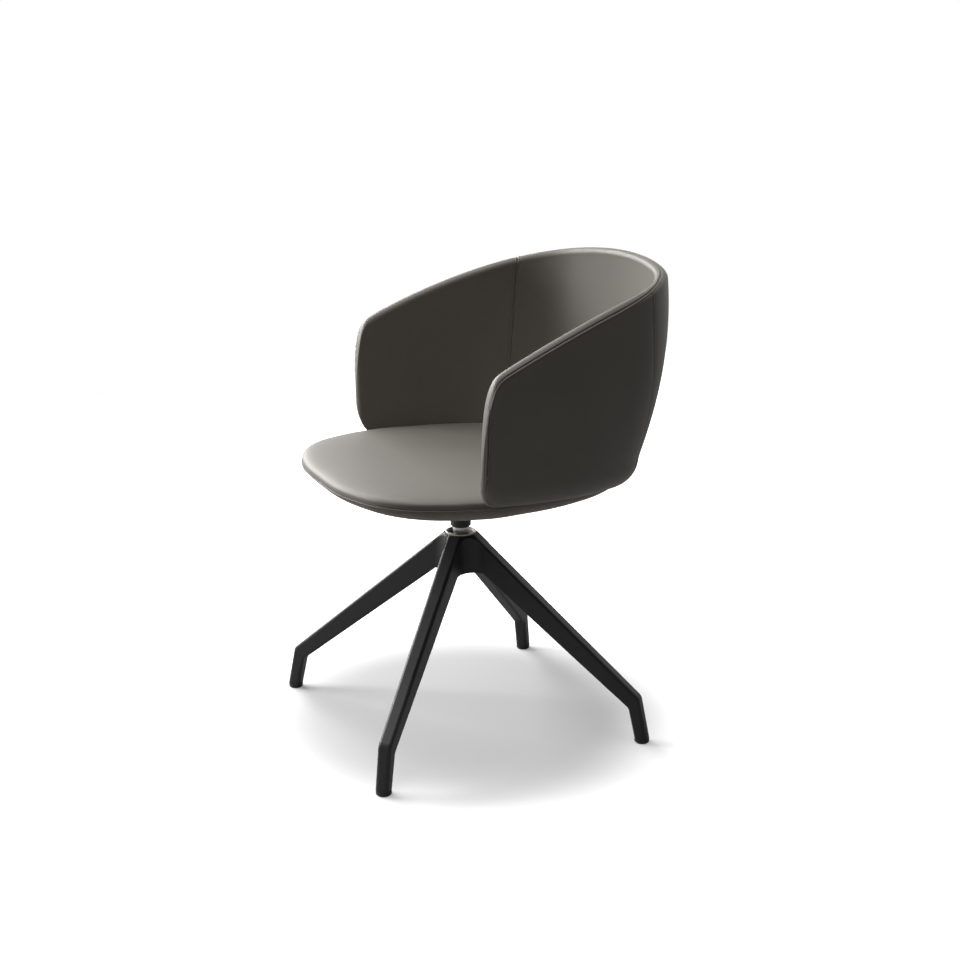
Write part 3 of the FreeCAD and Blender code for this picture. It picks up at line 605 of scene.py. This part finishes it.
# %% [markdown]
# The rim seam runs along the top of the crest at the back. Along each arm it moves out to the
# rounded outer edge, and at the arm's front end it follows this edge down and round the corner.

# %% Seam lines
BACK_SEAM_TURN = 0.5
ARM_SEAM_TURN = 0.86
SHIFT_START = 0.20
SHIFT_REACH = 0.14
FRONT_RUN = TIP - HALF_THICK * (1 - math.cos(math.pi * ARM_SEAM_TURN - math.pi / 2))
CORNER_BAND = 0.34
BAND_REACH = 0.080


def seam_turn(run):
    """How far over the crest the rim seam lies, from 0 at the inner edge to 1 at the outer edge."""
    shifted = smooth_share((abs(run) - SHIFT_START) / SHIFT_REACH)
    return BACK_SEAM_TURN + (ARM_SEAM_TURN - BACK_SEAM_TURN) * shifted


def corner_share(run):
    """Where the seam lies on the rolled underside, near the arm's lower corner."""
    return 1 - CORNER_BAND * (1 - smooth_share((FRONT_RUN - abs(run)) / BAND_REACH))


print("front seam at:", round(FRONT_RUN, 4), "m along the wall")


# %% [markdown]
# A row of a panel is a place round the girth. The inner panels run from the inner foot up to the rim
# seam, and the outer ones from the rim seam down and under the wall's foot.


# %% Rows of the panels
FACE_ROWS = 44
INNER_RIM_ROWS = 12
OUTER_RIM_ROWS = 8
UNDER_ROWS = 14
CORNER_ROWS = 8


def inner_rows(run):
    return ([(INNER, s) for s in spread(0, 1, FACE_ROWS, "last")]
            + [(OVER, s) for s in spread(0, seam_turn(run), INNER_RIM_ROWS, "even")[1:]])


def outer_rows(run):
    return ([(OVER, s) for s in spread(seam_turn(run), 1, OUTER_RIM_ROWS, "even")]
            + [(OUTER, s) for s in spread(0, 1, FACE_ROWS, "first")[1:]]
            + [(UNDER, s) for s in spread(0, corner_share(run), UNDER_ROWS, "last")[1:]])


def corner_rows(run):
    return [(UNDER, s) for s in spread(corner_share(run), 1, CORNER_ROWS, "first")]


def front_rows(run):
    """All round the arm's front end, the same at each run: inner face, rim, outer face, underside."""
    return inner_rows(FRONT_RUN) + outer_rows(FRONT_RUN)[1:] + corner_rows(FRONT_RUN)[1:]


# %% [markdown]
# On the real chair six hides are sewn into a cover that is pulled over the foam from above: an
# inner and an outer back, and an inner and an outer panel for each arm. The inner arm panel also
# wraps the arm's front end, so the front edge is soft and has no seam.

# %% Back and arm panels
BACK_COLUMNS = 40
ARM_COLUMNS = 26
END_COLUMNS = 16

back_runs = seam_runs(-SIDE_SEAM, SIDE_SEAM, BACK_COLUMNS)
panels = [
    leather_panel("inner_back_leather", "inner_back_cover", [(back_runs, inner_rows)]),
    leather_panel("outer_back_leather", "outer_back_cover", [(back_runs, outer_rows)]),
]
for word, hand in (("left", 1), ("right", -1)):
    arm_runs = [hand * run for run in seam_runs(SIDE_SEAM, FRONT_RUN, ARM_COLUMNS)]
    front_runs = [hand * run for run in spread(FRONT_RUN, TIP, END_COLUMNS, "last")]
    corner_runs = [run for run in arm_runs if abs(run) > FRONT_RUN - BAND_REACH]
    patches = [(arm_runs, inner_rows), (front_runs, front_rows), (corner_runs, corner_rows)]
    panels.append(leather_panel("inner_arm_leather_" + word, "inner_arm_cover_" + word, patches))
    outer = leather_panel("outer_arm_leather_" + word, "outer_arm_cover_" + word, [(arm_runs, outer_rows)])
    panels.append(outer)


# %% [markdown]
# The thread is twisted and a little darker than the hide. At this size the twist is only a
# fine change of tone.


# %% Sewing thread
def thread_finish():
    thread = Recipe("sewing_thread")
    twist = thread.noise(2500.0, 2.0)
    return thread.surface(
        Base_Color=thread.mix(twist, (0.050, 0.045, 0.038), (0.085, 0.077, 0.066)),
        Roughness=0.50 + twist * 0.2,
        Normal=thread.bump(twist, 0.0001, 0.5),
    )


# %% [markdown]
# The topstitches are short lengths of thread on both sides of a seam. Each is a small ball drawn
# out along the seam and laid on the leather below it. One mesh holds all those of a seam. A texture
# of stitches would be lighter, but would stretch where the seams bend.

# %% Topstitches
STITCH_PITCH = 0.0044
STITCH_LENGTH = 0.0034
THREAD = 0.00042
THREAD_RISE = THREAD * 0.3
THREAD_FINISH = thread_finish()


def skin_tree():
    """The panels' finished surfaces, to lay the thread on."""
    surface = bmesh.new()
    graph = bpy.context.evaluated_depsgraph_get()
    for panel in panels:
        surface.from_mesh(panel.evaluated_get(graph).to_mesh())
    tree = BVHTree.FromBMesh(surface)
    surface.free()
    return tree


def stitch_places(path):
    """Points and directions at even steps along a path of points."""
    lengths = [(after - before).length for before, after in zip(path, path[1:])]
    count = int(sum(lengths) / STITCH_PITCH)
    pitch = sum(lengths) / count
    places, walked, index = [], 0.0, 0
    for k in range(count):
        wanted = (k + 0.5) * pitch
        while walked + lengths[index] < wanted:
            walked += lengths[index]
            index += 1
        share = (wanted - walked) / lengths[index]
        ahead = (path[index + 1] - path[index]).normalized()
        places.append((path[index].lerp(path[index + 1], share), ahead))
    return places


def stitches(name, lines):
    bm = bmesh.new()
    size = Matrix.Diagonal((STITCH_LENGTH / 2, THREAD, THREAD, 1))
    for marks in lines:
        for point, ahead in stitch_places([leather_place(*mark) for mark in marks]):
            out = SKIN_TREE.find_nearest(point)[1]
            beside = out.cross(ahead).normalized() * STITCH_GAP
            for side in (-1, 1):
                place, up = SKIN_TREE.find_nearest(point + beside * side)[:2]
                across = up.cross(ahead).normalized()
                along = across.cross(up)
                turn = Matrix((along, across, up)).transposed().to_4x4()
                matrix = Matrix.Translation(place + up * THREAD_RISE) @ turn @ size
                bmesh.ops.create_icosphere(bm, subdivisions=2, radius=1.0, matrix=matrix)
    print(name, len(bm.faces), "faces")
    return new_piece(name, bm, THREAD_FINISH)


# %% [markdown]
# Stitches follow the rim seam, the front seam of each arm, round its lower corner, and the inner
# side seam. The line of each seam is marked on the same formula as the panels.

# %% Stitch lines
CORNER_STITCH_REACH = BAND_REACH * 0.8
SIDE_STITCH_START = 0.12
RIM_MARKS = 300
FRONT_MARKS = 30
UNDER_MARKS = 10
CORNER_MARKS = 20
SIDE_MARKS = 40
CREST_MARKS = 6

SKIN_TREE = skin_tree()
rim_line = [(run, OVER, seam_turn(run)) for run in spread(-FRONT_RUN, FRONT_RUN, RIM_MARKS)]
stitches("rim_stitches", [rim_line])
for word, hand in (("left", 1), ("right", -1)):
    front, seam = hand * FRONT_RUN, hand * SIDE_SEAM
    front_line = ([(front, OUTER, s) for s in spread(0, 1, FRONT_MARKS, "even")]
                  + [(front, UNDER, s) for s in spread(0, corner_share(front), UNDER_MARKS, "even")[1:]])
    corner_runs = spread(FRONT_RUN, FRONT_RUN - CORNER_STITCH_REACH, CORNER_MARKS, "even")
    corner_line = [(hand * run, UNDER, corner_share(run)) for run in corner_runs]
    side_line = ([(seam, INNER, s) for s in spread(SIDE_STITCH_START, 1, SIDE_MARKS, "even")]
                 + [(seam, OVER, s) for s in spread(0, seam_turn(seam), CREST_MARKS, "even")[1:]])
    stitches("arm_stitches_" + word, [front_line, corner_line, side_line])


# %% [markdown]
# Seen from above, the seat fills the space inside the shell and bows out at the front. Its outline
# is a closed Bezier curve through marks on the wall and on the front bow, so that it is smooth with
# few marks. The front bow's marks are shares of the seat's half width and of its depth.

# %% Seat outline
FRONT_REACH = 0.250
SIDE_CLEARANCE = 0.0003
RUN_SHARES = (0.945, 0.83, 0.72, 0.62, 0.53, 0.435, 0.34)
FRONT_SHARES = ((0.487, 0.931), (0.78, 0.719), (0.947, 0.327), (0.977, 0.17))


def seat_side(run):
    place = at_wall(run, -HALF_THICK - SIDE_CLEARANCE, SEAT_SEAM)
    return Vector((place.x, place.y, SEAT_SEAM))


def seat_marks():
    """The outline's marks, once round the seat and ending at the middle of its front."""
    sides = [seat_side(TIP * share) for share in RUN_SHARES]
    depth = FRONT_REACH + sides[0].y
    half = [Vector((sides[0].x * wide, sides[0].y - depth * deep, SEAT_SEAM)) for wide, deep in FRONT_SHARES]
    half += sides
    other = [Vector((-mark.x, mark.y, mark.z)) for mark in reversed(half)]
    return half + [seat_side(0)] + other + [Vector((0, -FRONT_REACH, SEAT_SEAM))]


def outline_mesh(radius=0.0):
    """The outline as a loop of edges, or as a tube of a given radius."""
    curve = bpy.data.curves.new("seat_outline", "CURVE")
    curve.dimensions = "3D"
    spline = curve.splines.new("BEZIER")
    marks = seat_marks()
    spline.bezier_points.add(len(marks) - 1)
    for point, mark in zip(spline.bezier_points, marks):
        point.co = mark
        point.handle_left_type = point.handle_right_type = "AUTO"
    spline.use_cyclic_u = True
    spline.resolution_u = 8
    curve.bevel_depth = radius
    curve.bevel_resolution = 3
    holder = bpy.data.objects.new("seat_outline", curve)
    scene.collection.objects.link(holder)
    graph = bpy.context.evaluated_depsgraph_get()
    mesh = bpy.data.meshes.new_from_object(holder.evaluated_get(graph))
    bpy.data.objects.remove(holder)
    bpy.data.curves.remove(curve)
    return mesh


SEAT_MIDDLE = Vector((0, (seat_side(0).y - FRONT_REACH) / 2, SEAT_SEAM))
print("seat outline:", len(outline_mesh().vertices), "points")

# %% [markdown]
# The cushion is a moulded foam block with a leather pulled over it. The sheet starts as the outline
# and grows inwards: each loop is an extrusion of the last, scaled about the seat's middle and
# lifted along a superellipse, which is steep at the seam and nearly flat on top. A cloth simulation
# would end in nearly the same shape, because the foam is firm and the leather has no folds.


# %% Growing a cover from the outline
def swell(power, flat_share, count):
    """Shares of width and rise along a superellipse, from the seam to the flat middle."""
    shares = []
    top = (1 - flat_share ** power) ** (1 / power)
    for k in range(count):
        angle = math.pi / 2 * k / count
        wide = math.cos(angle) ** (2 / power)
        if wide > flat_share:
            shares.append((wide, math.sin(angle) ** (2 / power) / top))
    return shares + [(flat_share, 1.0)]


def next_loop(bm, edges, ratio, rise, shift=0.0, centre=SEAT_MIDDLE):
    """Extrude the loop and scale it about a middle."""
    made = bmesh.ops.extrude_edge_only(bm, edges=edges)["geom"]
    verts = [item for item in made if isinstance(item, bmesh.types.BMVert)]
    bmesh.ops.scale(bm, vec=(ratio, ratio, 1), verts=verts, space=Matrix.Translation(-centre))
    bmesh.ops.translate(bm, verts=verts, vec=(0, shift, rise))
    return [item for item in made if isinstance(item, bmesh.types.BMEdge)], verts


def swollen_sheet(shares, total, shift=0.0, shift_power=1.0):
    """A sheet from the outline to its flat middle, with the loop where it ends."""
    bm = bmesh.new()
    bm.from_mesh(outline_mesh())
    bmesh.ops.remove_doubles(bm, verts=bm.verts, dist=WELD)
    edges = list(bm.edges)
    verts = list(bm.verts)
    wide, up, moved = 1.0, 0.0, 0.0
    for next_wide, next_up in shares[1:]:
        move = shift * next_up ** shift_power - moved
        centre = SEAT_MIDDLE + Vector((0, moved, 0))
        edges, verts = next_loop(bm, edges, next_wide / wide, total * (next_up - up), move, centre)
        wide, up, moved = next_wide, next_up, moved + move
    return bm, edges, verts


def face_from(bm, middle):
    """Turn a sheet so that it looks away from a point."""
    bmesh.ops.recalc_face_normals(bm, faces=bm.faces)
    votes = sum(face.normal.dot(face.calc_center_median() - middle) for face in bm.faces)
    if votes < 0:
        bmesh.ops.reverse_faces(bm, faces=bm.faces)


# %% [markdown]
# The top cover closes in the middle of the seat with ever smaller loops, which end in one point.

# %% Seat top
LOOPS = 26
CROWN = 0.020
CROWN_POWER = 5
CROWN_FLAT_SHARE = 0.4
CLOSING_SHARES = (0.75, 0.7, 0.6, 0.4, 0.3)

bm, edges, verts = swollen_sheet(swell(CROWN_POWER, CROWN_FLAT_SHARE, LOOPS), CROWN)
for ratio in CLOSING_SHARES:
    edges, verts = next_loop(bm, edges, ratio, 0.0)
bmesh.ops.pointmerge(bm, verts=verts, merge_co=SEAT_MIDDLE + Vector((0, 0, CROWN)))
face_from(bm, SEAT_MIDDLE - Vector((0, 0, CROWN)))
as_leather(new_piece("seat_top_leather", bm, LEATHER), "seat_top_cover")

# %% [markdown]
# The under cover is pulled over the pan in the same way, but downwards, like a shallow bowl. Its
# lowest part lies a little behind the middle of the outline, so the loops shift as they sink. The
# last loops turn from the outline's shape into the round hole for the spindle's socket.

# %% Seat underside
BOWL = 0.060
BOWL_POWER = 1.7
BOWL_FLAT_SHARE = 0.25
BOWL_SHIFT = 0.11 * seat_side(TIP * RUN_SHARES[0]).x
SHIFT_POWER = 1.5
SOCKET_HOLE = 0.0177
HOLE_LOOPS = 4

bowl_shares = swell(BOWL_POWER, BOWL_FLAT_SHARE, LOOPS)
bm, edges, verts = swollen_sheet(bowl_shares, -BOWL, BOWL_SHIFT, SHIFT_POWER)
for step in range(HOLE_LOOPS):
    edges, verts = next_loop(bm, edges, 1.0, 0.0)
    for vert in verts:
        level = vert.co.z
        rim = Vector((vert.co.x, vert.co.y, 0)).normalized() * SOCKET_HOLE
        vert.co = vert.co.lerp(rim, 1 / (HOLE_LOOPS - step))
        vert.co.z = level
face_from(bm, SEAT_MIDDLE + Vector((0, 0, BOWL)))
# The under cover takes the leather darkened with painted shade.
as_leather(new_piece("seat_under_leather", bm, UNDER_LEATHER_PAINTED_SHADE), "seat_under_cover")

# %% [markdown]
# A thin welt, which is a cord in a strip of leather, closes the joint between the two covers. A
# round bevel on the outline's curve makes it in one go, and it is then turned into a mesh.

# %% Welt
WELT = 0.0014
bm = bmesh.new()
bm.from_mesh(outline_mesh(WELT))
bmesh.ops.remove_doubles(bm, verts=bm.verts, dist=WELD)
bmesh.ops.recalc_face_normals(bm, faces=bm.faces)
# The welt takes the under leather too, darkened with painted shade.
welt = new_piece("seat_welt_leather", bm, UNDER_LEATHER_PAINTED_SHADE)
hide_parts("seat_welt")
print(welt.name, len(welt.data.polygons), "faces")

# %% [markdown]
# The photo has a white ground with a soft grey shadow, so the floor is grey under the chair and
# fades to white round it. The fade is a glow that only the camera sees, so it lights nothing. What
# the camera sees beyond the floor is white too.

# %% Floor
FLOOR_REACH = 3.0
FLOOR_FADE = (0.24, 0.50)


def floor_finish():
    floor = Recipe("white_floor")
    seen = floor.add("ShaderNodeLightPath", output="Is Camera Ray")
    away = floor.add("ShaderNodeVectorMath", {"operation": "LENGTH"}, {0: floor.place}, "Value")
    fade = floor.add("ShaderNodeMapRange", {"interpolation_type": "SMOOTHSTEP"},
                     {"Value": away, "From Min": FLOOR_FADE[0], "From Max": FLOOR_FADE[1]})
    glow = floor.noise(4.0, 1.0) * 0.02 + fade * 0.98
    floor.shader.inputs["Emission Strength"].default_value = 1.0
    return floor.surface(
        Base_Color=floor.mix(seen, (0.36, 0.36, 0.36), (0.62, 0.62, 0.62)),
        Emission_Color=floor.mix(seen * glow, (0.0, 0.0, 0.0), (1.0, 1.0, 1.0)),
        Roughness=0.9,
        Specular_IOR_Level=0.0,
    )


bm = bmesh.new()
bmesh.ops.create_grid(bm, x_segments=1, y_segments=1, size=FLOOR_REACH)
mesh = bpy.data.meshes.new("floor")
bm.to_mesh(mesh)
bm.free()
mesh.materials.append(floor_finish())
floor = bpy.data.objects.new("floor", mesh)
scene.collection.objects.link(floor)
print("floor:", 2 * FLOOR_REACH, "m wide")


# %% [markdown]
# The key light is a large softbox at the chair's far side, so the seat shines and the near arm stays
# in shade. A smaller one in front fills the inner back, and one overhead lays the soft shadow under
# the chair. Large lamps give soft highlights on leather, where small ones would draw hard lines.


# %% Lamps
def softbox(name, place, target, size, power):
    data = bpy.data.lights.new(name, "AREA")
    data.shape = "RECTANGLE"
    data.size, data.size_y = size
    data.energy = power
    light = bpy.data.objects.new(name, data)
    light.location = place
    light.rotation_euler = (Vector(target) - Vector(place)).to_track_quat("-Z", "Y").to_euler()
    scene.collection.objects.link(light)
    print(name, power, "W")


softbox("key_softbox", (-3.0, -0.9, 1.9), (0, 0, 0.55), (2.2, 2.0), 152.0)
softbox("front_softbox", (-1.9, -2.4, 1.6), (0, 0, 0.60), (1.4, 1.4), 110.0)
softbox("top_softbox", (0.1, -0.1, 3.0), (0, 0, 0), (1.2, 1.2), 42.0)

# %% [markdown]
# The room is white behind the chair and dim behind the camera. The dim side is what keeps the near
# arm dark, and the white side is what shines in the seat and the inner back. Plain light that falls
# on the chair from all round is weaker than what the camera and the mirrors see.

# %% The room
ROOM = 0.16
DIM_MIRROR = 0.12
DIM_SIDE = 0.25
BRIGHT_SIDE = -0.55

world = bpy.data.worlds.new("studio")
scene.world = world
room = Recipe("studio", world)
ray = {name: room.add("ShaderNodeLightPath", output=name)
       for name in ("Is Camera Ray", "Is Glossy Ray", "Is Transmission Ray")}
mirrored = room.add("ShaderNodeMath", {"operation": "MAXIMUM"},
                    {0: ray["Is Glossy Ray"], 1: ray["Is Transmission Ray"]})
across = room.add("ShaderNodeSeparateXYZ", {}, {0: room.place}, "X")
backdrop = room.add("ShaderNodeMapRange", {"interpolation_type": "SMOOTHSTEP"},
                    {"Value": across, "From Min": DIM_SIDE, "From Max": BRIGHT_SIDE,
                     "To Min": DIM_MIRROR})
seen = room.add("ShaderNodeMath", {"operation": "MAXIMUM"},
                {0: ray["Is Camera Ray"], 1: mirrored * backdrop})
level = room.add("ShaderNodeMath", {"operation": "MAXIMUM"}, {0: seen, 1: ROOM})
sky = room.tree.nodes["Background"]
room.connect(sky.inputs["Color"], (1.0, 1.0, 1.0))
room.connect(sky.inputs["Strength"], level)
